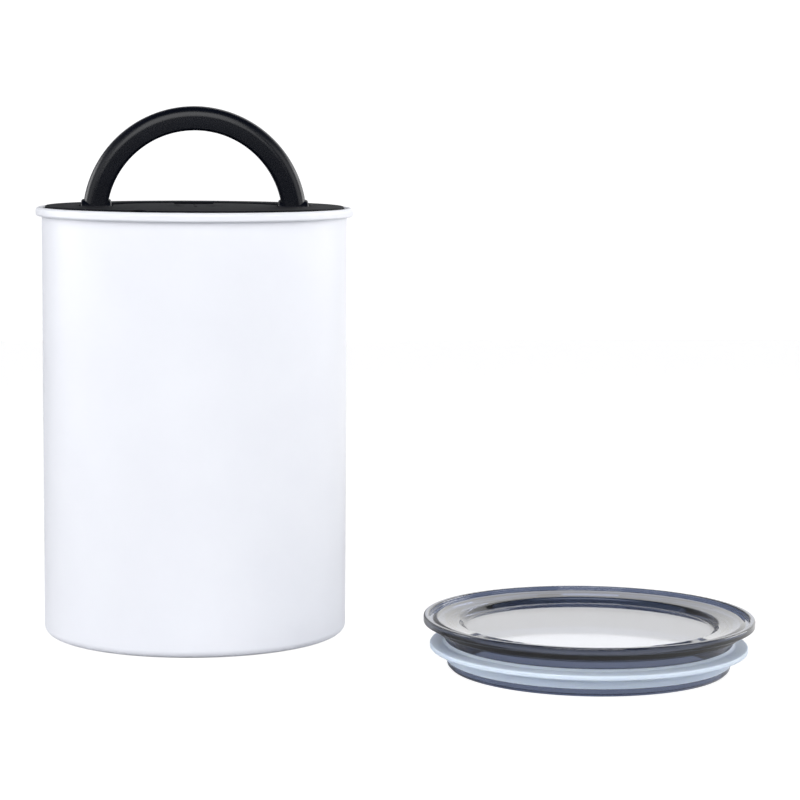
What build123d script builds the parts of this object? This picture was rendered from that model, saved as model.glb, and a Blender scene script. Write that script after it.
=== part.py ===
from build123d import *
import os

# A coffee canister with a press-down inner lid, an air valve and a clear outer lid.
# Millimetres, +Z up. The origin is the middle of the face that the canister stands on.
# The front of the canister faces -Y. The outer lid lies beside it on the same table.

# Canister: one drawn steel pot
body_radius = 63.25
body_height = 178.0
steel = 0.6
base_corner = 3.0
foot_inset = 13.25
base_lift = 1.6
base_bend = 2.4
roll_bend = 1.2
roll_height = 3.6
bore_radius = body_radius - steel

# Inner lid: top plate
plate_gap = 0.65
plate_thickness = 1.8
plate_proud = 0.6
plate_edge = 0.6
moulded_wall = 1.8
spigot_height = 2.4
spigot_clearance = 0.15
edge_notch_width = 5.4
edge_notch_length = 4.4
edge_notch_angle = 247.0
plate_radius = bore_radius - plate_gap
plate_top = body_height + plate_proud
plate_under = plate_top - plate_thickness

# Handle and its hinge
grip_margin = 15.5
grip_width = 10.0
grip_depth = 9.6
grip_round_share = 0.45
grip_inner_round = 1.4
grip_centre_drop = 2.2
hinge_drop = 3.2
barrel_radius = 5.8
barrel_inner_overhang = 1.9
barrel_outer_overhang = 0.5
barrel_round = 0.9
pin_radius = 1.2
pin_running_clearance = 0.08
pin_seat_clearance = 0.02
pin_bearing = 3.0
pin_end_chamfer = 0.3
grip_outer_radius = plate_radius - grip_margin
grip_inner_radius = grip_outer_radius - grip_width
barrel_inner_reach = grip_inner_radius - barrel_inner_overhang
barrel_outer_reach = grip_outer_radius + barrel_outer_overhang
hinge_z = plate_top - hinge_drop
grip_centre_z = hinge_z - grip_centre_drop

# Pocket and half-ring trough that the handle folds into
pocket_inner_gap = 0.4
pocket_outer_gap = 1.0
pocket_turn_gap = 0.4
pocket_step = 0.45
trough_inner_gap = 0.8
finger_notch_width = 16.4
finger_notch_place_share = 0.257
finger_notch_depth = 4.6
finger_notch_corner = 3.0

# Inner lid: lower shell with its seal groove and valve well
lid_height = 30.0
shell_step = 0.8
shell_thickness = 2.0
floor_thickness = 2.2
groove_height = 7.0
groove_depth = 2.0
groove_foot = 2.0
foot_round = 0.8
well_radius = 13.7
seat_lift = 4.0
seat_thickness = 1.8
dish_inset = 2.7
dish_slope = 2.0
shell_radius = plate_radius - shell_step
lid_bottom = plate_top - lid_height

# Inner seal: wiper fins that reach for the steel
wiper_gap = 0.25
wiper_thickness = 0.7
wiper_rise = 1.0
wiper_count = 2
seal_seat_clearance = 0.05

# Valve flap and its vents
vent_radius = 1.7
vent_count = 6
stem_radius = 2.0
stem_clearance = 0.4
flap_side_gap = 3.3
flap_edge = 0.5
flap_crown = 1.2
flap_hollow = 0.6
flap_lip = 1.4
flap_gap = 0.1
bulb_rim = 1.3
bulb_height = 1.8
valve_travel = 1.2
valve_stop_gap = 0.2

# Valve cover: a slotted cap that snaps into the middle of the plate
cover_thickness = 1.0
cover_ledge = 1.6
cover_gap = 0.2
hub_wall = 1.15
hub_depth = 3.0
skirt_thickness = 1.2
snap_bead = 0.4
slot_width = 1.4
slot_length = 5.6
slot_margin = 2.0
slot_count = 8

# Outer lid: where it lies, and its moulding
outer_lid_x = 153.5
outer_lid_y = -86.0
flange_overhang = 2.15
flange_height = 2.8
lip_width = 2.2
lip_round = 0.7
lip_rise = 1.6
outer_lid_height = 20.6
step_inset = 2.35
step_height = 3.1
neck_inset = 5.65
neck_height = 3.7
ledge_width = 1.6
ledge_rise = 0.5
slope_width = 2.4
slope_drop = 2.4
disc_inset = 3.7
disc_drop = 4.6
disc_thickness = 2.2
plug_inset = 7.55
plug_wall = 2.4
ring_width = 0.8
ring_height = 3.1
ring_chamfer = 1.2

# Outer seal: a sleeve with one broad fin
sleeve_thickness = 1.3
sleeve_flare = 0.9
fin_bite = 0.2
fin_thickness = 1.9
fin_root_share = 0.34
fin_place_share = 0.70

# One overrun for all cuts
overrun = 2.0

os.makedirs("parts", exist_ok=True)


# Canister: the middle line of the sheet is drawn, given the sheet's thickness and turned
sheet_radius = body_radius - steel / 2
roll_outer = sheet_radius + 2 * roll_bend + steel / 4
roll_top = body_height - steel / 2
roll_bottom = body_height - roll_height + steel / 2
recess_z = base_lift + steel / 2
foot_z = steel / 2
foot_inner_radius = body_radius - foot_inset
with BuildPart() as canister_body:
    with BuildSketch(Plane.XZ):
        with BuildLine():
            FilletPolyline(
                (0, recess_z),
                (foot_inner_radius, recess_z),
                (foot_inner_radius + base_bend, foot_z),
                (sheet_radius, foot_z),
                (sheet_radius, roll_top),
                (roll_outer, roll_top),
                (roll_outer, roll_bottom),
                (sheet_radius + roll_bend, roll_bottom),
                radius=[base_bend, base_bend, base_corner, roll_bend, roll_bend, roll_bend / 2],
            )
        trace(line_width=steel)
    revolve(axis=Axis.Z)
canister_body.part.label = "canister_body"
export_step(canister_body.part, "parts/canister_body.step")


# Inner lid plate: a disc with a hollow for the folded handle moulded under it
hinge_reach = barrel_radius + pocket_turn_gap
trough_floor = hinge_z - hinge_reach
pocket_outer = barrel_outer_reach + pocket_outer_gap
trough_inner_radius = grip_inner_radius - trough_inner_gap
# the pocket clears the barrel, and steps in from the trough so that the soft edge can turn the corner
trough_corner = (trough_inner_radius**2 - (hinge_reach + grip_centre_drop) ** 2) ** 0.5
pocket_inner = min(barrel_inner_reach - pocket_inner_gap, trough_corner - pocket_step)
pocket_width = pocket_outer - pocket_inner
pocket_middle = (pocket_inner + pocket_outer) / 2
trough_back = trough_inner_radius - grip_centre_drop
spigot_radius = shell_radius - shell_thickness - spigot_clearance
hub_outer_radius = well_radius - spigot_clearance
hub_radius = hub_outer_radius - hub_wall
cover_radius = hub_radius + cover_ledge
notch_front = cover_radius + finger_notch_place_share * (trough_back - cover_radius)
boss_width = pin_radius + moulded_wall
pin_inner_end = pocket_inner - pin_bearing
pin_length = pocket_width + 2 * pin_bearing

with BuildSketch(Plane.XY) as trough_plan:
    with Locations((0, -grip_centre_drop)):
        Circle(pocket_outer)
        Circle(trough_inner_radius, mode=Mode.SUBTRACT)
    with Locations((0, plate_radius)):
        Rectangle(2 * plate_radius, 2 * plate_radius, mode=Mode.INTERSECT)

with BuildSketch(Plane.XY) as pocket_plan:
    with Locations((pocket_middle, 0), (-pocket_middle, 0)):
        Rectangle(pocket_width, 2 * hinge_reach)

with BuildSketch(Plane.XY) as notch_plan:
    with Locations((0, (notch_front + trough_back) / 2)):
        Rectangle(finger_notch_width, trough_back - notch_front)
    fillet(notch_plan.vertices().group_by(Axis.Y)[0], finger_notch_corner)
    with Locations((0, trough_back)):
        Rectangle(finger_notch_width, 2 * trough_inner_gap)

with BuildPart() as inner_lid_plate:
    # disc, with a little round on its upper edge
    with BuildSketch(Plane.XY.offset(plate_under)):
        Circle(plate_radius)
    extrude(amount=plate_thickness)
    fillet(inner_lid_plate.edges().group_by(Axis.Z)[-1], plate_edge)
    # walls round the trough, the pockets and the finger notch
    for hollow_plan in (trough_plan, pocket_plan):
        with BuildSketch(Plane.XY.offset(plate_under)):
            add(hollow_plan.sketch)
            offset(amount=moulded_wall)
        extrude(amount=-(plate_under - trough_floor + moulded_wall))
    with BuildSketch(Plane.XY.offset(plate_under)):
        add(notch_plan.sketch)
        offset(amount=moulded_wall)
    extrude(amount=-(finger_notch_depth - plate_thickness + moulded_wall))
    # bosses that hold the outer and the inner end of each hinge pin
    with BuildSketch(Plane.XY.offset(plate_under)):
        for wall_place in (pocket_outer + pin_bearing / 2, pocket_inner - pin_bearing / 2):
            with Locations((wall_place, 0), (-wall_place, 0)):
                Rectangle(pin_bearing, 2 * boss_width)
    extrude(amount=-(plate_under - hinge_z + boss_width))
    # spigots that centre the plate in the lower shell and in the valve well
    with BuildSketch(Plane.XY.offset(plate_under)):
        Circle(spigot_radius)
        Circle(spigot_radius - moulded_wall, mode=Mode.SUBTRACT)
        Rectangle(2 * plate_radius, 2 * boss_width, mode=Mode.SUBTRACT)
    extrude(amount=-spigot_height)
    with BuildSketch(Plane.XY.offset(plate_under)):
        Circle(hub_outer_radius)
    extrude(amount=-hub_depth)
    # the hollow for the handle, the finger notch and the notch in the front edge
    for hollow_plan in (trough_plan, pocket_plan):
        with BuildSketch(Plane.XY.offset(trough_floor)):
            add(hollow_plan.sketch)
        extrude(amount=plate_top - trough_floor, mode=Mode.SUBTRACT)
    with BuildSketch(Plane.XY.offset(plate_top)):
        add(notch_plan.sketch)
    extrude(amount=-finger_notch_depth, mode=Mode.SUBTRACT)
    with BuildSketch(Plane.XY.offset(plate_under)):
        with PolarLocations(plate_radius, 1, start_angle=edge_notch_angle):
            Rectangle(2 * edge_notch_length, edge_notch_width)
    extrude(amount=plate_thickness, mode=Mode.SUBTRACT)
    # seat and hole for the valve cover
    with BuildSketch(Plane.XY.offset(plate_top)):
        Circle(cover_radius)
    extrude(amount=-cover_thickness, mode=Mode.SUBTRACT)
    with BuildSketch(Plane.XY.offset(plate_top)):
        Circle(hub_radius)
    extrude(amount=-(plate_thickness + hub_depth), mode=Mode.SUBTRACT)
    # bores for the two hinge pins, open to the outside so that the pins can be pushed in
    for side in (1, -1):
        with BuildSketch(Plane.YZ.offset(side * pin_inner_end)):
            with Locations((0, hinge_z)):
                Circle(pin_radius + pin_seat_clearance)
        extrude(amount=side * (pin_length + overrun), mode=Mode.SUBTRACT)
    # soft upper edges round the trough and the finger notch, the one opening of many edges
    top_openings = inner_lid_plate.faces().filter_by(Axis.Z).sort_by(Axis.Z)[-1].inner_wires()
    fillet(top_openings.sort_by(lambda wire: len(wire.edges()))[-1].edges(), plate_edge)
inner_lid_plate.part.label = "inner_lid_plate"
export_step(inner_lid_plate.part, "parts/inner_lid_plate.step")


# Inner lid shell: a turned cup with a seal groove outside and a valve well in the middle
groove_bottom = lid_bottom + groove_foot
groove_top = groove_bottom + groove_height
groove_radius = shell_radius - groove_depth
seat_under = lid_bottom + seat_lift
seat_top = seat_under + seat_thickness
floor_top = lid_bottom + floor_thickness
dish_radius = well_radius - dish_inset
flap_radius = well_radius - flap_side_gap
vent_circle = (stem_radius + stem_clearance + flap_radius) / 2
with BuildPart() as inner_lid_shell:
    with BuildSketch(Plane.XZ) as shell_profile:
        with BuildLine():
            Polyline(
                (0, seat_under),
                (dish_radius, seat_under),
                (dish_radius + dish_slope, lid_bottom),
                (shell_radius, lid_bottom),
                (shell_radius, groove_bottom),
                (groove_radius, groove_bottom),
                (groove_radius, groove_top),
                (shell_radius, groove_top),
                (shell_radius, plate_under),
                (shell_radius - shell_thickness, plate_under),
                (shell_radius - shell_thickness, groove_top + shell_thickness),
                (groove_radius - shell_thickness, groove_top),
                (groove_radius - shell_thickness, floor_top),
                (well_radius + moulded_wall, floor_top),
                (well_radius + moulded_wall, plate_under),
                (well_radius, plate_under),
                (well_radius, seat_top),
                (0, seat_top),
                close=True,
            )
        make_face()
        corner = shell_profile.vertices().filter_by(
            lambda point: point.X > groove_radius and point.Y < groove_bottom
        )
        fillet(corner.sort_by(Axis.Y)[0], foot_round)
    revolve(axis=Axis.Z)
    with BuildSketch(Plane.XY.offset(seat_under)):
        Circle(stem_radius + stem_clearance)
        with PolarLocations(vent_circle, vent_count):
            Circle(vent_radius)
    extrude(amount=seat_thickness, mode=Mode.SUBTRACT)
inner_lid_shell.part.label = "inner_lid_shell"
export_step(inner_lid_shell.part, "parts/inner_lid_shell.step")


# Inner seal: a soft ring with wiper fins that lean up and outwards
wiper_radius = bore_radius - wiper_gap
seal_depth = groove_depth - seal_seat_clearance
wiper_pitch = groove_height / wiper_count
with BuildPart() as inner_seal:
    with BuildSketch(Plane.XZ):
        with Locations((shell_radius - seal_depth / 2, groove_bottom + groove_height / 2)):
            Rectangle(seal_depth, groove_height)
        for place in range(wiper_count):
            root = groove_bottom + wiper_pitch * place + wiper_thickness
            with BuildLine():
                Polyline(
                    (shell_radius - wiper_thickness, root),
                    (shell_radius, root),
                    (wiper_radius, root + wiper_rise),
                    (wiper_radius, root + wiper_rise + wiper_thickness),
                    (shell_radius, root + 2 * wiper_thickness),
                    (shell_radius - wiper_thickness, root + 2 * wiper_thickness),
                    close=True,
                )
            make_face()
    revolve(axis=Axis.Z)
inner_seal.part.label = "inner_seal"
export_step(inner_seal.part, "parts/inner_seal.step")


# Handle: a half-ring grip with a hinge barrel across each foot
grip_middle_radius = (grip_outer_radius + grip_inner_radius) / 2
barrel_length = barrel_outer_reach - barrel_inner_reach
barrel_middle = (barrel_outer_reach + barrel_inner_reach) / 2
barrel_centre = hinge_z + barrel_radius / 2
grip_outer_round = grip_round_share * grip_depth
with BuildPart() as carry_handle:
    with BuildSketch(Plane.XY.offset(grip_centre_z)) as grip_section:
        with Locations((grip_middle_radius, 0)):
            Rectangle(grip_width, grip_depth)
        fillet(grip_section.vertices().group_by(Axis.X)[-1], grip_outer_round)
        fillet(grip_section.vertices().group_by(Axis.X)[0], grip_inner_round)
    revolve(axis=Axis((0, 0, grip_centre_z), (0, -1, 0)), revolution_arc=180)
    with BuildSketch(Plane.XZ) as barrel_section:
        with Locations((barrel_middle, barrel_centre), (-barrel_middle, barrel_centre)):
            Rectangle(barrel_length, barrel_radius)
        fillet(barrel_section.vertices().group_by(Axis.Y)[-1], barrel_round)
    revolve(axis=Axis((0, 0, hinge_z), (1, 0, 0)))
    for side in (1, -1):
        with BuildSketch(Plane.YZ.offset(side * barrel_inner_reach)):
            with Locations((0, hinge_z)):
                Circle(pin_radius + pin_running_clearance)
        extrude(amount=side * barrel_length, mode=Mode.SUBTRACT)
carry_handle.part.label = "carry_handle"
export_step(carry_handle.part, "parts/carry_handle.step")


# Hinge pins: one through each barrel, held by the bosses on both sides of its pocket
with BuildPart() as hinge_pins:
    for side in (1, -1):
        with BuildSketch(Plane.YZ.offset(side * pin_inner_end)):
            with Locations((0, hinge_z)):
                Circle(pin_radius)
        extrude(amount=side * pin_length)
    chamfer(hinge_pins.edges().filter_by(GeomType.CIRCLE), pin_end_chamfer)
hinge_pins.part.label = "hinge_pins"
export_step(hinge_pins.part, "parts/hinge_pins.step")


# Valve flap: a soft mushroom whose head covers the vents and whose bulb keeps it in place
flap_rest = seat_top + flap_gap
bulb_top = seat_under - valve_travel - valve_stop_gap
crown_radius = (flap_radius**2 + flap_crown**2) / (2 * flap_crown)
with BuildPart() as valve_flap:
    with BuildSketch(Plane.XZ):
        with BuildLine():
            head = Polyline(
                (0, bulb_top - bulb_height),
                (stem_radius, bulb_top - bulb_height),
                (stem_radius + bulb_rim, bulb_top),
                (stem_radius, bulb_top),
                (stem_radius, flap_rest + flap_hollow),
                (flap_radius - flap_lip, flap_rest + flap_hollow / 2),
                (flap_radius - flap_lip / 2, flap_rest),
                (flap_radius, flap_rest),
                (flap_radius, flap_rest + flap_edge),
            )
            crown = RadiusArc(head @ 1, (0, flap_rest + flap_edge + flap_crown), -crown_radius)
            Line(crown @ 1, head @ 0)
        make_face()
    revolve(axis=Axis.Z)
valve_flap.part.label = "valve_flap"
export_step(valve_flap.part, "parts/valve_flap.step")


# Valve cover: a slotted cap with a snap skirt below it
cap_radius = cover_radius - cover_gap
skirt_radius = hub_radius - cover_gap
slot_circle = cap_radius - slot_margin - slot_length / 2
skirt_bottom = plate_under - hub_depth - 2 * snap_bead
with BuildPart() as valve_cover:
    with BuildSketch(Plane.XZ):
        with BuildLine():
            Polyline(
                (0, plate_top),
                (cap_radius, plate_top),
                (cap_radius, plate_top - cover_thickness),
                (skirt_radius, plate_top - cover_thickness),
                (skirt_radius, plate_under - hub_depth),
                (skirt_radius + snap_bead + cover_gap, plate_under - hub_depth),
                (skirt_radius, skirt_bottom),
                (skirt_radius - skirt_thickness, skirt_bottom),
                (skirt_radius - skirt_thickness, plate_top - cover_thickness),
                (0, plate_top - cover_thickness),
                close=True,
            )
        make_face()
    revolve(axis=Axis.Z)
    with BuildSketch(Plane.XY.offset(plate_top)):
        with PolarLocations(slot_circle, slot_count):
            SlotOverall(slot_length, slot_width)
    extrude(amount=-cover_thickness, mode=Mode.SUBTRACT)
valve_cover.part.label = "valve_cover"
export_step(valve_cover.part, "parts/valve_cover.step")


# Outer lid: one clear moulding with a recessed disc on top and a hollow plug below
lid_place = Plane((outer_lid_x, outer_lid_y, 0), x_dir=(1, 0, 0), z_dir=(0, -1, 0))
lid_axis = Axis((outer_lid_x, outer_lid_y, 0), (0, 0, 1))
flange_bottom = outer_lid_height - flange_height
step_bottom = flange_bottom - step_height
flange_radius = body_radius + flange_overhang
lip_inner_radius = flange_radius - lip_width
ledge_z = outer_lid_height - lip_rise
neck_bottom = step_bottom - neck_height
step_radius = bore_radius - step_inset
neck_radius = bore_radius - neck_inset
plug_radius = bore_radius - plug_inset
plug_inner_radius = plug_radius - plug_wall
ring_radius = plug_radius + ring_width
disc_radius = plug_inner_radius - disc_inset
disc_top = outer_lid_height - disc_drop
with BuildPart() as outer_lid:
    with BuildSketch(lid_place) as outer_profile:
        with BuildLine():
            Polyline(
                (0, disc_top),
                (disc_radius, disc_top),
                (disc_radius + slope_width, outer_lid_height - slope_drop),
                (lip_inner_radius - 2 * ledge_width, ledge_z + ledge_rise),
                (lip_inner_radius - ledge_width, ledge_z),
                (lip_inner_radius, ledge_z),
                (lip_inner_radius, outer_lid_height),
                (flange_radius, outer_lid_height),
                (flange_radius, flange_bottom),
                (step_radius, flange_bottom),
                (step_radius, step_bottom),
                (neck_radius, step_bottom),
                (neck_radius, neck_bottom),
                (plug_radius, neck_bottom),
                (plug_radius, ring_height),
                (ring_radius, ring_height),
                (ring_radius, ring_chamfer),
                (ring_radius - ring_chamfer, 0),
                (plug_inner_radius, 0),
                (plug_inner_radius, disc_top - disc_thickness),
                (0, disc_top - disc_thickness),
                close=True,
            )
        make_face()
        lip_corners = outer_profile.vertices().filter_by(
            lambda point: point.Y > outer_lid_height - lip_round
        )
        fillet(lip_corners, lip_round)
    revolve(axis=lid_axis)
outer_lid.part.label = "outer_lid"
export_step(outer_lid.part, "parts/outer_lid.step")


# Outer seal: a soft sleeve round the plug with one broad fin
sleeve_inner = plug_radius + seal_seat_clearance
sleeve_radius = plug_radius + sleeve_thickness
sleeve_height = neck_bottom - ring_height
fin_z = ring_height + fin_place_share * sleeve_height
fin_root = fin_root_share * sleeve_height
fin_foot = sleeve_radius + sleeve_flare
fin_radius = bore_radius + fin_bite
with BuildPart() as outer_seal:
    with BuildSketch(lid_place):
        with BuildLine():
            Polyline(
                (sleeve_inner, ring_height),
                (sleeve_radius, ring_height),
                (fin_foot, fin_z - fin_root / 2),
                (fin_radius, fin_z - fin_thickness / 2),
                (fin_radius, fin_z + fin_thickness / 2),
                (fin_foot, fin_z + fin_root / 2),
                (sleeve_radius, neck_bottom),
                (sleeve_inner, neck_bottom),
                close=True,
            )
        make_face()
    revolve(axis=lid_axis)
outer_seal.part.label = "outer_seal"
export_step(outer_seal.part, "parts/outer_seal.step")
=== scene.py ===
import math

import bmesh
import bpy
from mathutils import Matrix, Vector


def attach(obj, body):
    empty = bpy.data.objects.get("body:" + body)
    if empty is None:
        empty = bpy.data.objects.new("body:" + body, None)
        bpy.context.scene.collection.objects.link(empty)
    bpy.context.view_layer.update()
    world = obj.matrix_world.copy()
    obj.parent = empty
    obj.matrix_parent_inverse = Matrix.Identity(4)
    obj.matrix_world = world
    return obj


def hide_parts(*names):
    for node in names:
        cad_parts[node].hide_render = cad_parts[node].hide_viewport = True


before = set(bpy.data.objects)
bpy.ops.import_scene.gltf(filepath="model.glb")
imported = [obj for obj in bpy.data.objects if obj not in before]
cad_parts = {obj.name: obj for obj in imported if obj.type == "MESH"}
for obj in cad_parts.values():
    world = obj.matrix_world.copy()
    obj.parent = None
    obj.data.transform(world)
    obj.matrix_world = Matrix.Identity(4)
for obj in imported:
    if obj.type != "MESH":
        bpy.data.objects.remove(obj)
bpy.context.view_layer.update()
mm = 0.001
print("frame loaded:", len(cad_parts), "nodes")


# helpers for meshes; vertices closer than seamGap, in metres, are taken as one
seamGap = 1e-6


def drawLine(bm, points, closed=False):
    verts = [bm.verts.new(point) for point in points]
    ends = verts[1:] + verts[:1] if closed else verts[1:]
    for first, second in zip(verts, ends):
        bm.edges.new((first, second))
    return verts


def roundCorners(bm, verts, size, segments):
    bmesh.ops.bevel(bm, geom=verts, offset=size, offset_type="OFFSET", segments=segments, profile=0.5,
                    affect="VERTICES", material=-1)


def profileWire(bm, corners, centre=(0, 0), closed=False):
    # corners are (radius, height, rounding) in mm, in the plane that faces the front;
    # a rounding is (size in mm, segments), or None
    points = [(centre[0] + radius * mm, centre[1], height * mm) for radius, height, _ in corners]
    verts = drawLine(bm, points, closed)
    for vert, (_, _, rounding) in zip(verts, corners):
        if rounding:
            roundCorners(bm, [vert], rounding[0] * mm, rounding[1])
    return list(bm.verts) + list(bm.edges)


def turnAll(bm, geom, centre, steps, axis=(0, 0, 1)):
    # one full turn, closed at its seam and at its poles
    bmesh.ops.spin(bm, geom=geom, cent=centre, axis=axis, angle=math.tau, steps=steps, use_merge=True)
    bmesh.ops.remove_doubles(bm, verts=bm.verts, dist=seamGap)
    bmesh.ops.recalc_face_normals(bm, faces=bm.faces)


def addObject(bm, name, materials):
    mesh = bpy.data.meshes.new(name)
    bm.to_mesh(mesh)
    bm.free()
    thing = bpy.data.objects.new(name, mesh)
    bpy.context.scene.collection.objects.link(thing)
    for material in materials:
        mesh.materials.append(material)
    mesh.polygons.foreach_set("use_smooth", [True] * len(mesh.polygons))
    return thing


def finishPiece(bm, name, materials, body, node, sharpAngle=38):
    piece = addObject(bm, name, materials)
    piece.data.set_sharp_from_angle(angle=math.radians(sharpAngle))
    even = piece.modifiers.new("evenShading", "WEIGHTED_NORMAL")
    even.keep_sharp = True
    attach(piece, body)
    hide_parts(node)
    print(name + ":", len(piece.data.polygons), "faces")


# helpers for materials

def toLinear(text):
    parts = [int(text[i:i + 2], 16) / 255 for i in (1, 3, 5)]
    return tuple(c / 12.92 if c <= 0.04045 else ((c + 0.055) / 1.055) ** 2.4 for c in parts) + (1.0,)


def addNode(tree, kind, settings=None, links=None):
    # lower-case names are the node's own settings, the others and numbers are its sockets
    node = tree.nodes.new(kind)
    for key, value in (settings or {}).items():
        if isinstance(key, str) and key[0].islower():
            setattr(node, key, value)
        else:
            node.inputs[key].default_value = value
    for key, source in (links or {}).items():
        tree.links.new(source, node.inputs[key])
    return node


def newMaterial(name):
    material = bpy.data.materials.new(name)
    material.use_nodes = True
    tree = material.node_tree
    tree.nodes.clear()
    return material, tree


def patternSize(sizeInMm):
    # noise scale for features of about that size, on Object coordinates in metres
    return 1.0 / (sizeInMm * mm)


def makeGrained(name, finish):
    # the tint follows slow clouds, the roughness and the bump follow a fine grain
    material, tree = newMaterial(name)
    place = addNode(tree, "ShaderNodeTexCoord").outputs["Object"]
    if "stretch" in finish:
        place = addNode(tree, "ShaderNodeMapping", {"Scale": finish["stretch"]}, {"Vector": place}).outputs[0]
    clouds = addNode(tree, "ShaderNodeTexNoise",
                     {"Scale": patternSize(finish["cloudMm"]), "Detail": finish["cloudDetail"]},
                     {"Vector": place})
    grain = addNode(tree, "ShaderNodeTexNoise",
                    {"Scale": patternSize(finish["grainMm"]), "Detail": finish["grainDetail"]},
                    {"Vector": place})
    tint = addNode(tree, "ShaderNodeMix",
                   {"data_type": "RGBA", 6: toLinear(finish["low"]), 7: toLinear(finish["high"])},
                   {0: clouds.outputs["Fac"]})
    rough = addNode(tree, "ShaderNodeMapRange", {"To Min": finish["roughLow"], "To Max": finish["roughHigh"]},
                    {"Value": grain.outputs["Fac"]})
    bump = addNode(tree, "ShaderNodeBump", {"Strength": finish["bump"], "Distance": finish["bumpMm"] * mm},
                   {"Height": grain.outputs["Fac"]})
    shader = addNode(tree, "ShaderNodeBsdfPrincipled", finish["shader"],
                     {"Base Color": tint.outputs[2], "Roughness": rough.outputs[0], "Normal": bump.outputs[0]})
    addNode(tree, "ShaderNodeOutputMaterial", None, {"Surface": shader.outputs[0]})
    return material


# powder-coated steel: satin white with a cool tint, and the faint orange peel that the spray leaves
powder = {"low": "#EEF0F6", "high": "#F4F6FB", "cloudMm": 26, "cloudDetail": 3.0,
          "roughLow": 0.34, "roughHigh": 0.40, "grainMm": 1.3, "grainDetail": 2.0,
          "bump": 0.12, "bumpMm": 0.05, "shader": {"IOR": 1.5}}
whitePowderCoat = makeGrained("whitePowderCoat", powder)

# drawn steel: bare, bright and matt, with the fine rings that the drawing tool leaves round the wall, made
# wider than life so that they show; the same rings tint it and roughen it
steel = {"low": "#CFCECC", "high": "#E2E1DF", "cloudMm": 0.5, "cloudDetail": 3.0,
         "roughLow": 0.5, "roughHigh": 0.6, "grainMm": 0.5, "grainDetail": 3.0,
         "bump": 0.1, "bumpMm": 0.02, "stretch": (0.01, 0.01, 1.0), "shader": {"Metallic": 1.0}}
drawnSteel = makeGrained("drawnSteel", steel)

# moulded ABS: near black with a cool cast; its spark-eroded grain, made coarser than life so that it shows,
# spreads the highlights
absPlastic = {"low": "#04060D", "high": "#090D17", "cloudMm": 18, "cloudDetail": 4.0,
              "roughLow": 0.24, "roughHigh": 0.30, "grainMm": 0.45, "grainDetail": 2.0,
              "bump": 0.08, "bumpMm": 0.02, "shader": {"IOR": 1.52, "Specular IOR Level": 0.3}}
blackAbs = makeGrained("blackMouldedAbs", absPlastic)

# the same plastic on the press lid: a coarser grain that leaves its top dull
dullPlastic = dict(absPlastic, roughLow=0.64, roughHigh=0.74, grainMm=0.6,
                   shader={"IOR": 1.52, "Specular IOR Level": 0.12})
dullAbs = makeGrained("dullGrainedAbs", dullPlastic)

# moulded silicone: milky and a little blue; light spreads a short way into it and softens its shades, and its
# matt grain is made coarser than life so that it shows
rubber = {"low": "#DCEAFE", "high": "#E6F1FF", "cloudMm": 9, "cloudDetail": 3.0,
          "roughLow": 0.38, "roughHigh": 0.5, "grainMm": 0.6, "grainDetail": 2.0, "bump": 0.1, "bumpMm": 0.03,
          "shader": {"IOR": 1.41, "Transmission Weight": 0.03, "Subsurface Weight": 0.35,
                     "Subsurface Radius": (1.0, 1.0, 1.2), "Subsurface Scale": 0.9 * mm}}
milkySilicone = makeGrained("milkySilicone", rubber)
print("grained materials made")


# canister: one drawn pot with a rolled rim; paint outside and over the roll, bare steel inside
pot = {"radius": 63.25, "height": 178.0, "sheet": 0.6, "foot": 50.0, "recess": 1.6, "bend": 2.4,
       "rollOut": 65.17, "rollDrop": 3.0, "curl": 64.15, "steps": 192,
       "footRound": (0.8, 4), "cornerRound": (3.3, 10), "rollRound": (0.88, 8), "curlRound": (0.3, 4)}


def makePot():
    bm = bmesh.new()
    top = pot["height"] - pot["sheet"]
    curlZ = top - pot["rollDrop"] + pot["sheet"]
    corners = [(0, pot["recess"], None),
               (pot["foot"], pot["recess"], pot["footRound"]),
               (pot["foot"] + pot["bend"], 0, pot["footRound"]),
               (pot["radius"], 0, pot["cornerRound"]),
               (pot["radius"], top, pot["rollRound"]),
               (pot["rollOut"], top, pot["rollRound"]),
               (pot["rollOut"], curlZ, pot["curlRound"]),
               (pot["curl"], curlZ, None)]
    turnAll(bm, profileWire(bm, corners), (0, 0, 0), pot["steps"])
    # the open sheet's normals may face either way: the wall, its largest upright face, shows which
    upright = [face for face in bm.faces if abs(face.normal.z) < face.normal.xy.length]
    wall = max(upright, key=lambda face: face.calc_area())
    if wall.normal.dot(wall.calc_center_median().xy.to_3d()) < 0:
        bmesh.ops.reverse_faces(bm, faces=bm.faces)
    outerFaces = set(bm.faces)
    bmesh.ops.solidify(bm, geom=bm.faces, thickness=pot["sheet"] * mm)
    bareRadius = (pot["radius"] - pot["sheet"] / 2) * mm
    for face in bm.faces:
        middle = face.calc_center_median()
        face.material_index = int(face not in outerFaces and middle.xy.length < bareRadius)
    finishPiece(bm, "pot", [whitePowderCoat, drawnSteel], "canister", "canister_body")


makePot()


# handle: a half-ring grip with a hinge barrel across each foot
grip = {"outer": 46.5, "inner": 36.5, "depth": 9.6, "centreZ": 173.2, "steps": 96,
        "outerRound": (4.32, 8), "innerRound": (1.4, 6), "sharpAngle": 50}
barrel = {"inner": 34.6, "outer": 47.0, "radius": 5.8, "bore": 1.28, "hingeZ": 175.4, "steps": 64,
          "round": (0.9, 5)}


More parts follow.
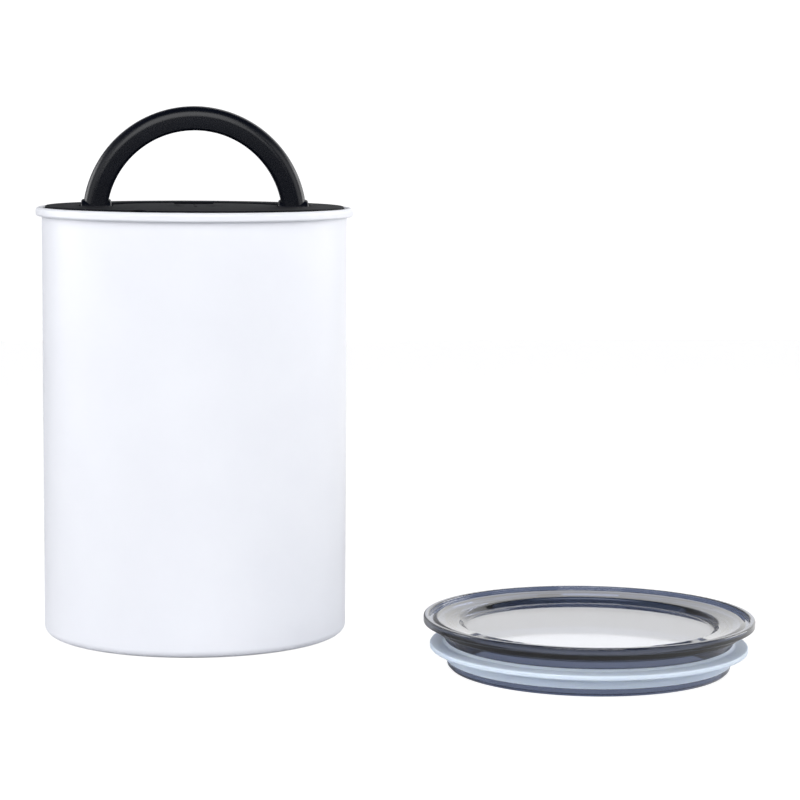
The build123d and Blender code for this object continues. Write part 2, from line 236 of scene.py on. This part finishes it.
def addBarrel(bm, side):
    new = bmesh.new()
    corners = [(barrel["inner"], barrel["bore"]), (barrel["outer"], barrel["bore"]),
               (barrel["outer"], barrel["radius"]), (barrel["inner"], barrel["radius"])]
    verts = drawLine(new, [(side * x * mm, 0, (barrel["hingeZ"] + r) * mm) for x, r in corners], closed=True)
    size, segments = barrel["round"]
    roundCorners(new, verts[2:], size * mm, segments)
    onHinge = (0, 0, barrel["hingeZ"] * mm)
    turnAll(new, list(new.verts) + list(new.edges), onHinge, barrel["steps"], axis=(1, 0, 0))
    holder = bpy.data.meshes.new("barrel")
    new.to_mesh(holder)
    new.free()
    bm.from_mesh(holder)
    bpy.data.meshes.remove(holder)


def makeHandle():
    bm = bmesh.new()
    half = grip["depth"] / 2
    section = [bm.verts.new((x * mm, y * mm, grip["centreZ"] * mm)) for x, y in
               ((grip["inner"], -half), (grip["outer"], -half), (grip["outer"], half), (grip["inner"], half))]
    bm.faces.new(section)
    size, segments = grip["outerRound"]
    roundCorners(bm, section[1:3], size * mm, segments)
    innerCorners = [vert for vert in bm.verts if abs(vert.co.x - grip["inner"] * mm) < seamGap]
    size, segments = grip["innerRound"]
    roundCorners(bm, innerCorners, size * mm, segments)
    bmesh.ops.spin(bm, geom=list(bm.verts) + list(bm.edges) + list(bm.faces),
                   cent=(0, 0, grip["centreZ"] * mm), axis=(0, -1, 0), angle=math.pi, steps=grip["steps"])
    for side in (1, -1):
        addBarrel(bm, side)
    bmesh.ops.remove_doubles(bm, verts=bm.verts, dist=seamGap)
    bmesh.ops.recalc_face_normals(bm, faces=bm.faces)
    finishPiece(bm, "grip", [blackAbs], "handle", "carry_handle", grip["sharpAngle"])


makeHandle()


# inner seal: soft ring in the press lid's groove, its two fins lean up and outwards
wiper = {"inner": 59.25, "outer": 61.2, "reach": 62.4, "bottom": 150.6, "height": 7.0,
         "fins": 2, "thick": 0.7, "rise": 1.0, "finRound": (0.2, 3), "steps": 160}


def makeInnerSeal():
    bm = bmesh.new()
    top = wiper["bottom"] + wiper["height"]
    corners = [(wiper["inner"], wiper["bottom"], None), (wiper["outer"], wiper["bottom"], None)]
    for place in range(wiper["fins"]):
        root = wiper["bottom"] + wiper["height"] / wiper["fins"] * place + wiper["thick"]
        tip = root + wiper["rise"]
        corners += [(wiper["outer"], root, None),
                    (wiper["reach"], tip, wiper["finRound"]),
                    (wiper["reach"], tip + wiper["thick"], wiper["finRound"]),
                    (wiper["outer"], root + 2 * wiper["thick"], None)]
    corners += [(wiper["outer"], top, None), (wiper["inner"], top, None)]
    turnAll(bm, profileWire(bm, corners, closed=True), (0, 0, 0), wiper["steps"])
    finishPiece(bm, "wiperRing", [milkySilicone], "press_lid", "inner_seal")


makeInnerSeal()


# outer lid: one clear moulding, lying on the ring of its plug
lid = {"x": 153.5, "y": -86.0, "height": 20.6, "flange": 65.4, "flangeHeight": 2.8,
       "lip": 2.2, "lipRise": 1.6, "ledge": 1.6, "ledgeRise": 0.5,
       "step": 60.3, "stepHeight": 3.1, "neck": 57.0, "neckHeight": 3.7,
       "slopeOuter": 51.4, "slopeDrop": 2.4, "disc": 49.0, "discDrop": 4.6, "discThick": 2.2,
       "plug": 55.1, "plugWall": 2.4, "ring": 55.9, "ringHeight": 3.1, "ringChamfer": 1.2, "steps": 192,
       "discRound": (0.8, 4), "slopeRound": (0.4, 3), "ledgeRound": (0.3, 3), "lipRound": (0.69, 6),
       "edgeRound": (0.4, 4), "seatRound": (0.2, 3)}
lidCentre = (lid["x"] * mm, lid["y"] * mm, 0)

# smoke-tinted clear copolyester: the thin disc looks nearly clear; the thick rim and plug round it are painted
# a darker navy, a painted shade for the light their thickness absorbs
smoke = {"low": "#E6E9F2", "high": "#EFF1F7", "paintedRimShade": "#636D86", "clearTo": 49.0, "rimFrom": 52.0,
         "roughLow": 0.02, "roughHigh": 0.05, "flowMm": 14, "flowDetail": 4.0,
         "tint": "#3A4260", "density": 80.0, "shader": {"IOR": 1.57, "Transmission Weight": 1.0}}


def makeSmokeClear():
    material, tree = newMaterial("smokeCopolyester")
    place = addNode(tree, "ShaderNodeTexCoord").outputs["Object"]
    flow = addNode(tree, "ShaderNodeTexNoise",
                   {"Scale": patternSize(smoke["flowMm"]), "Detail": smoke["flowDetail"]}, {"Vector": place})
    tint = addNode(tree, "ShaderNodeMix",
                   {"data_type": "RGBA", 6: toLinear(smoke["low"]), 7: toLinear(smoke["high"])},
                   {0: flow.outputs["Fac"]})
    shift = [-value for value in lidCentre]
    fromAxis = addNode(tree, "ShaderNodeMapping", {"Location": shift, "Scale": (1, 1, 0)}, {"Vector": place})
    reach = addNode(tree, "ShaderNodeVectorMath", {"operation": "LENGTH"}, {0: fromAxis.outputs[0]})
    # painted shade: from clearTo outwards the colour darkens to the rim's navy, which stands in for the light
    # that the thick rim and plug absorb
    thick = addNode(tree, "ShaderNodeMapRange",
                    {"From Min": smoke["clearTo"] * mm, "From Max": smoke["rimFrom"] * mm},
                    {"Value": reach.outputs["Value"]})
    tint = addNode(tree, "ShaderNodeMix", {"data_type": "RGBA", 7: toLinear(smoke["paintedRimShade"])},
                   {0: thick.outputs[0], 6: tint.outputs[2]})
    rough = addNode(tree, "ShaderNodeMapRange", {"To Min": smoke["roughLow"], "To Max": smoke["roughHigh"]},
                    {"Value": flow.outputs["Fac"]})
    clear = addNode(tree, "ShaderNodeBsdfPrincipled", smoke["shader"],
                    {"Base Color": tint.outputs[2], "Roughness": rough.outputs[0]})
    absorb = addNode(tree, "ShaderNodeVolumeAbsorption",
                     {"Color": toLinear(smoke["tint"]), "Density": smoke["density"]})
    addNode(tree, "ShaderNodeOutputMaterial", None,
            {"Surface": clear.outputs[0], "Volume": absorb.outputs[0]})
    return material


def makeClearLid():
    bm = bmesh.new()
    top = lid["height"]
    discTop = top - lid["discDrop"]
    discUnder = discTop - lid["discThick"]
    ledgeZ = top - lid["lipRise"]
    lipIn = lid["flange"] - lid["lip"]
    flangeZ = top - lid["flangeHeight"]
    stepZ = flangeZ - lid["stepHeight"]
    neckZ = stepZ - lid["neckHeight"]
    plugIn = lid["plug"] - lid["plugWall"]
    corners = [(0, discTop, None),
               (lid["disc"], discTop, lid["discRound"]),
               (lid["slopeOuter"], top - lid["slopeDrop"], lid["discRound"]),
               (lipIn - 2 * lid["ledge"], ledgeZ + lid["ledgeRise"], lid["slopeRound"]),
               (lipIn - lid["ledge"], ledgeZ, lid["ledgeRound"]),
               (lipIn, ledgeZ, lid["ledgeRound"]),
               (lipIn, top, lid["lipRound"]),
               (lid["flange"], top, lid["lipRound"]),
               (lid["flange"], flangeZ, lid["edgeRound"]),
               (lid["step"], flangeZ, lid["ledgeRound"]),
               (lid["step"], stepZ, lid["edgeRound"]),
               (lid["neck"], stepZ, lid["ledgeRound"]),
               (lid["neck"], neckZ, lid["edgeRound"]),
               (lid["plug"], neckZ, lid["seatRound"]),
               (lid["plug"], lid["ringHeight"], None),
               (lid["ring"], lid["ringHeight"], lid["seatRound"]),
               (lid["ring"], lid["ringChamfer"], lid["slopeRound"]),
               (lid["ring"] - lid["ringChamfer"], 0, lid["ledgeRound"]),
               (plugIn, 0, lid["seatRound"]),
               (plugIn, discUnder, lid["discRound"]),
               (0, discUnder, None)]
    turnAll(bm, profileWire(bm, corners, lidCentre), lidCentre, lid["steps"])
    finishPiece(bm, "clearLid", [makeSmokeClear()], "top_lid", "outer_lid")


makeClearLid()


# outer seal: a soft sleeve round the plug, with one broad fin
sleeve = {"outer": 56.4, "flare": 0.9, "fin": 62.85, "finThick": 1.9, "finRoot": 2.686, "finShare": 0.70,
          "gap": 0.05, "steps": 160,
          "footRound": (0.4, 4), "rootRound": (0.8, 5), "finRound": (0.6, 5), "topRound": (0.3, 4)}


def makeSleeve():
    bm = bmesh.new()
    bottom = lid["ringHeight"]
    top = lid["height"] - lid["flangeHeight"] - lid["stepHeight"] - lid["neckHeight"]
    finZ = bottom + sleeve["finShare"] * (top - bottom)
    root = sleeve["outer"] + sleeve["flare"]
    inner = lid["plug"] + sleeve["gap"]
    corners = [(inner, bottom, None),
               (sleeve["outer"], bottom, sleeve["footRound"]),
               (root, finZ - sleeve["finRoot"] / 2, sleeve["rootRound"]),
               (sleeve["fin"], finZ - sleeve["finThick"] / 2, sleeve["finRound"]),
               (sleeve["fin"], finZ + sleeve["finThick"] / 2, sleeve["finRound"]),
               (root, finZ + sleeve["finRoot"] / 2, sleeve["rootRound"]),
               (sleeve["outer"], top, sleeve["topRound"]),
               (inner, top, None)]
    turnAll(bm, profileWire(bm, corners, lidCentre, closed=True), lidCentre, sleeve["steps"])
    finishPiece(bm, "sleeve", [milkySilicone], "top_lid", "outer_seal")


makeSleeve()


# the moulded parts that keep their CAD shape
for node, material in (("inner_lid_plate", dullAbs), ("inner_lid_shell", dullAbs), ("valve_cover", dullAbs),
                       ("hinge_pins", drawnSteel), ("valve_flap", milkySilicone)):
    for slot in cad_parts[node].material_slots:
        slot.material = material
print("CAD parts painted")


# floor and backdrop, in metres: white paper that sweeps up behind. Rays from the camera and through the clear
# lid see it lit evenly; mirrored rays see it bright behind the outer lid and dimmer behind the black parts
studio = {"paper": "#E6E6E8", "paperHigh": "#EAEAEC", "fibreMm": 3, "fibreDetail": 2.0,
          "glow": 1.45, "cameraShare": 0.65, "throughShare": 0.65,
          "glossDim": 0.03, "glossFull": 0.95, "dimX": 0.15, "fullX": 0.35,
          "front": -0.75, "back": 2.2, "side": 3.0, "high": 3.0, "bend": 0.8, "bendSteps": 16}


def makePaper():
    material, tree = newMaterial("studioPaper")
    place = addNode(tree, "ShaderNodeTexCoord").outputs["Object"]
    fibre = addNode(tree, "ShaderNodeTexNoise",
                    {"Scale": patternSize(studio["fibreMm"]), "Detail": studio["fibreDetail"]},
                    {"Vector": place})
    tint = addNode(tree, "ShaderNodeMix",
                   {"data_type": "RGBA", 6: toLinear(studio["paper"]), 7: toLinear(studio["paperHigh"])},
                   {0: fibre.outputs["Fac"]})
    rays = addNode(tree, "ShaderNodeLightPath")
    across = addNode(tree, "ShaderNodeSeparateXYZ", None, {0: place}).outputs["X"]
    rise = addNode(tree, "ShaderNodeMapRange", {"From Min": studio["dimX"], "From Max": studio["fullX"],
                                                "To Min": studio["glossDim"], "To Max": studio["glossFull"]},
                   {"Value": across})
    mirrored = addNode(tree, "ShaderNodeMath", {"operation": "MULTIPLY"},
                       {0: rays.outputs["Is Glossy Ray"], 1: rise.outputs[0]})
    direct = addNode(tree, "ShaderNodeMath", {"operation": "MULTIPLY", 1: studio["cameraShare"]},
                     {0: rays.outputs["Is Camera Ray"]})
    through = addNode(tree, "ShaderNodeMath", {"operation": "MULTIPLY", 1: studio["throughShare"]},
                      {0: rays.outputs["Is Transmission Ray"]})
    share = addNode(tree, "ShaderNodeMath", {"operation": "MAXIMUM"},
                    {0: direct.outputs[0], 1: through.outputs[0]})
    share = addNode(tree, "ShaderNodeMath", {"operation": "MAXIMUM"},
                    {0: share.outputs[0], 1: mirrored.outputs[0]})
    paper = addNode(tree, "ShaderNodeBsdfDiffuse", None, {"Color": tint.outputs[2]})
    glow = addNode(tree, "ShaderNodeEmission", {"Color": (1, 1, 1, 1), "Strength": studio["glow"]})
    both = addNode(tree, "ShaderNodeMixShader", None,
                   {0: share.outputs[0], 1: paper.outputs[0], 2: glow.outputs[0]})
    addNode(tree, "ShaderNodeOutputMaterial", None, {"Surface": both.outputs[0]})
    return material


def makeFloor():
    bm = bmesh.new()
    line = drawLine(bm, [(-studio["side"], y, z) for y, z in
                         ((studio["front"], 0), (studio["back"], 0), (studio["back"], studio["high"]))])
    roundCorners(bm, [line[1]], studio["bend"], studio["bendSteps"])
    made = bmesh.ops.extrude_edge_only(bm, edges=bm.edges)
    bmesh.ops.translate(bm, verts=[part for part in made["geom"] if isinstance(part, bmesh.types.BMVert)],
                        vec=(2 * studio["side"], 0, 0))
    sweep = addObject(bm, "paperSweep", [makePaper()])


makeFloor()


# light: two broad soft boxes at the front corners, two at the sides a little behind, one high in front,
# and a plain room
lamps = {
    "softLeft": {"at": (-1.5, -1.3, 0.8), "size": 1.3, "watts": 5.5},
    "softRight": {"at": (1.6, -1.2, 0.8), "size": 1.3, "watts": 7.5},
    "sideLeft": {"at": (-1.7, 0.6, 0.6), "size": 1.0, "watts": 13.0},
    "sideRight": {"at": (1.8, 0.6, 0.6), "size": 1.0, "watts": 13.0},
    "high": {"at": (-0.1, -1.25, 0.97), "size": 1.25, "watts": 17.5},
}
lampTarget = (0.05, -0.04, 0.08)
# the room is pale round the sides, dim in front of the set and overhead
room = {"wall": "#F0F0F2", "front": "#22252F", "zenith": "#272B38", "level": 1.1, "seen": 1.0,
        "upFrom": 0.1, "upTo": 0.8, "nearFrom": -0.3, "nearTo": -0.8}


def makeLamps():
    for name, lamp in lamps.items():
        data = bpy.data.lights.new(name, "AREA")
        data.size = lamp["size"]
        data.energy = lamp["watts"]
        thing = bpy.data.objects.new(name, data)
        thing.location = lamp["at"]
        toward = Vector(lampTarget) - Vector(lamp["at"])
        thing.rotation_euler = toward.to_track_quat("-Z", "Y").to_euler()
        bpy.context.scene.collection.objects.link(thing)


def makeRoom():
    world = bpy.data.worlds.new("room")
    world.use_nodes = True
    tree = world.node_tree
    tree.nodes.clear()
    seen = addNode(tree, "ShaderNodeLightPath").outputs["Is Camera Ray"]
    strength = addNode(tree, "ShaderNodeMix", {"data_type": "FLOAT", 2: room["level"], 3: room["seen"]},
                       {0: seen})
    way = addNode(tree, "ShaderNodeTexCoord").outputs["Generated"]
    parts = addNode(tree, "ShaderNodeSeparateXYZ", None, {0: way})
    up = addNode(tree, "ShaderNodeMapRange", {"From Min": room["upFrom"], "From Max": room["upTo"]},
                 {"Value": parts.outputs["Z"]})
    near = addNode(tree, "ShaderNodeMapRange", {"From Min": room["nearFrom"], "From Max": room["nearTo"]},
                   {"Value": parts.outputs["Y"]})
    walls = addNode(tree, "ShaderNodeMix",
                    {"data_type": "RGBA", 6: toLinear(room["wall"]), 7: toLinear(room["front"])},
                    {0: near.outputs[0]})
    walls = addNode(tree, "ShaderNodeMix", {"data_type": "RGBA", 7: toLinear(room["zenith"])},
                    {0: up.outputs[0], 6: walls.outputs[2]})
    colour = addNode(tree, "ShaderNodeMix", {"data_type": "RGBA", 7: (1, 1, 1, 1)},
                     {0: seen, 6: walls.outputs[2]})
    back = addNode(tree, "ShaderNodeBackground", None,
                   {"Color": colour.outputs[2], "Strength": strength.outputs[0]})
    addNode(tree, "ShaderNodeOutputWorld", None, {"Surface": back.outputs[0]})
    bpy.context.scene.world = world


makeLamps()
makeRoom()


# camera: low in front, a little to the left of the middle of the set, and rolled by less than half a degree
view = {"at": (-0.0202, -1.0941, 0.2179), "down": 6.280, "right": 5.555, "roll": 0.403, "lens": 117.79,
        "sensor": 36.0, "farthest": 20.0}
cameraData = bpy.data.cameras.new("camera")
cameraData.lens = view["lens"]
cameraData.sensor_width = view["sensor"]
cameraData.clip_end = view["farthest"]
camera = bpy.data.objects.new("camera", cameraData)
camera.location = view["at"]
camera.rotation_euler = (math.radians(90 - view["down"]), 0, math.radians(-view["right"]))
camera.rotation_euler.rotate_axis("Z", math.radians(view["roll"]))
bpy.context.scene.collection.objects.link(camera)
bpy.context.scene.camera = camera
bpy.context.scene.view_settings.view_transform = "Standard"
print("stage, light and camera set")
